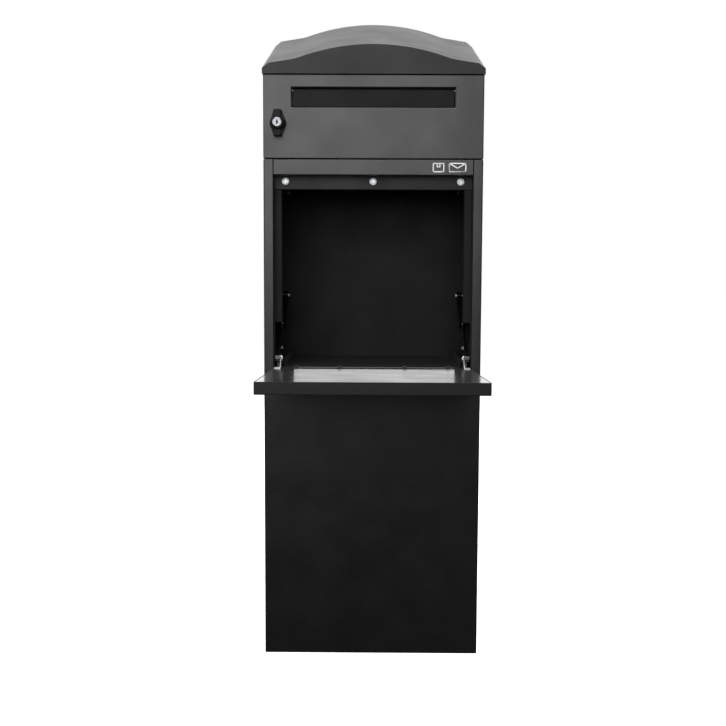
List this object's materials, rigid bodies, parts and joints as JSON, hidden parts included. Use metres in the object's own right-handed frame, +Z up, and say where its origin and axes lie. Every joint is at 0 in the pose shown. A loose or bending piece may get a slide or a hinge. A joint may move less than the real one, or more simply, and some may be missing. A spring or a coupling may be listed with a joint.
{
  "type": "parcel drop box",
  "caption": "Tall black steel drop box with a letter slot and locked letter door above, and a fold-down parcel flap with a tipping drop tray and gas struts over a locked safe.",
  "frame": {"origin": "centre of the underside of the base, which stands on the ground", "axes": "+Z up, front of the box towards -Y, +X to the right for someone facing its front"},
  "size_m": [0.408, 0.6335, 1.2225],
  "materials": {
    "black_powder_coat": "fine-textured satin powder coat",
    "black_screws": "black oxide and paint",
    "clear_bumper": "clear moulded rubber-like plastic",
    "zinc_steel": "bright zinc plated",
    "spring_steel": "drawn wire",
    "black_knob": "satin moulded",
    "lock_chrome": "polished plate",
    "nylon_bush": "moulded natural nylon",
    "strut_black": "gloss black enamel",
    "rod_chrome": "ground and hard chromed"
  },
  "bodies": {
    "casing": {"base_plate": "black_powder_coat", "front_panel": "black_powder_coat", "column_left": "black_powder_coat", "column_right": "black_powder_coat", "side_panel_left": "black_powder_coat", "side_panel_right": "black_powder_coat", "back_panel": "black_powder_coat", "header_rail": "black_powder_coat", "opening_frame_top": "black_powder_coat", "opening_frame_left": "black_powder_coat", "opening_frame_right": "black_powder_coat", "mail_floor": "black_powder_coat", "floor_hanger_left": "black_powder_coat", "floor_hanger_right": "black_powder_coat", "upper_rail": "black_powder_coat", "roof_cap": "black_powder_coat", "roof_screws": "black_screws", "flap_bumpers": "clear_bumper", "bumper_screws": "zinc_steel", "flap_pivot_pins": "zinc_steel", "strut_bracket_left": "black_powder_coat", "strut_bracket_right": "black_powder_coat", "strut_wall_studs": "zinc_steel", "bracket_bolts": "zinc_steel", "mail_door_pins": "zinc_steel", "lock_keeper": "zinc_steel", "rear_hinge_pins": "zinc_steel"},
    "mail_door": {"mail_door_panel": "black_powder_coat", "slot_frame": "black_powder_coat", "slot_flap_rod": "zinc_steel", "slot_springs": "spring_steel", "lock_housing": "black_knob", "lock_nut": "zinc_steel"},
    "slot_flap": {"slot_flap": "black_powder_coat"},
    "lock_knob": {"lock_knob": "black_knob", "lock_cam": "zinc_steel", "cam_screw": "zinc_steel"},
    "lock_plug": {"lock_plug": "lock_chrome"},
    "parcel_flap": {"flap_outer_skin": "black_powder_coat", "flap_inner_skin": "black_powder_coat", "flap_stiffener": "black_powder_coat", "flap_bushes": "nylon_bush", "flap_strut_brackets": "zinc_steel", "flap_strut_studs": "zinc_steel", "drop_tray": "black_powder_coat", "tray_screws": "black_screws"},
    "strut_tube_left": {"strut_tube_left": "strut_black"},
    "strut_tube_right": {"strut_tube_right": "strut_black"},
    "strut_rod_left": {"strut_rod_left": "rod_chrome"},
    "strut_rod_right": {"strut_rod_right": "rod_chrome"},
    "rear_door": {"rear_door_panel": "black_powder_coat", "rear_lock_body": "lock_chrome", "rear_lock_nut": "zinc_steel"},
    "rear_lock": {"rear_lock_plug": "lock_chrome", "rear_lock_cam": "zinc_steel"}
  },
  "joints": [
    {"name": "mail_door_hinge", "type": "hinge", "parent": "casing", "child": "mail_door", "pos_m": [0.192, -0.128, 0.998], "axis": [0, 0, 1], "range_deg": [0, 95]},
    {"name": "slot_flap_hinge", "type": "hinge", "parent": "mail_door", "child": "slot_flap", "pos_m": [0, -0.1335, 1.0455], "axis": [1, 0, 0], "range_deg": [0, 65], "stiffness_Nm_per_rad": 0.01, "springref_deg": -34.38},
    {"name": "lock_knob_turn", "type": "hinge", "parent": "mail_door", "child": "lock_knob", "pos_m": [-0.173, -0.14, 0.986], "axis": [0, 1, 0], "range_deg": [0, 90]},
    {"name": "lock_plug_turn", "type": "hinge", "parent": "lock_knob", "child": "lock_plug", "pos_m": [-0.173, -0.155, 0.986], "axis": [0, 1, 0], "range_deg": [0, 90]},
    {"name": "parcel_flap_hinge", "type": "hinge", "parent": "casing", "child": "parcel_flap", "pos_m": [0, -0.13, 0.531], "axis": [-1, 0, 0], "range_deg": [0, 88]},
    {"name": "strut_tube_left_pivot", "type": "hinge", "parent": "casing", "child": "strut_tube_left", "pos_m": [-0.1755, 0.06, 0.67], "axis": [1, 0, 0], "range_deg": [0, 10.5]},
    {"name": "strut_rod_left_pivot", "type": "hinge", "parent": "parcel_flap", "child": "strut_rod_left", "pos_m": [-0.1755, -0.12498, 0.55734], "axis": [1, 0, 0], "range_deg": [0, 99]},
    {"name": "strut_tube_right_pivot", "type": "hinge", "parent": "casing", "child": "strut_tube_right", "pos_m": [0.1755, 0.06, 0.67], "axis": [1, 0, 0], "range_deg": [0, 10.5]},
    {"name": "strut_rod_right_pivot", "type": "hinge", "parent": "parcel_flap", "child": "strut_rod_right", "pos_m": [0.1755, -0.12498, 0.55734], "axis": [1, 0, 0], "range_deg": [0, 99]},
    {"name": "rear_door_hinge", "type": "hinge", "parent": "casing", "child": "rear_door", "pos_m": [0.154, 0.135, 0.276], "axis": [0, 0, -1], "range_deg": [0, 110]},
    {"name": "rear_lock_turn", "type": "hinge", "parent": "rear_door", "child": "rear_lock", "pos_m": [-0.135, 0.14, 0.275], "axis": [0, 1, 0], "range_deg": [0, 90]}
  ],
  "couplings": [
    {"joint": "strut_tube_left_pivot", "follows": "parcel_flap_hinge", "ratio": 0.1127},
    {"joint": "strut_rod_left_pivot", "follows": "parcel_flap_hinge", "ratio": 1.1127},
    {"joint": "strut_tube_right_pivot", "follows": "parcel_flap_hinge", "ratio": 0.1127},
    {"joint": "strut_rod_right_pivot", "follows": "parcel_flap_hinge", "ratio": 1.1127}
  ]
}
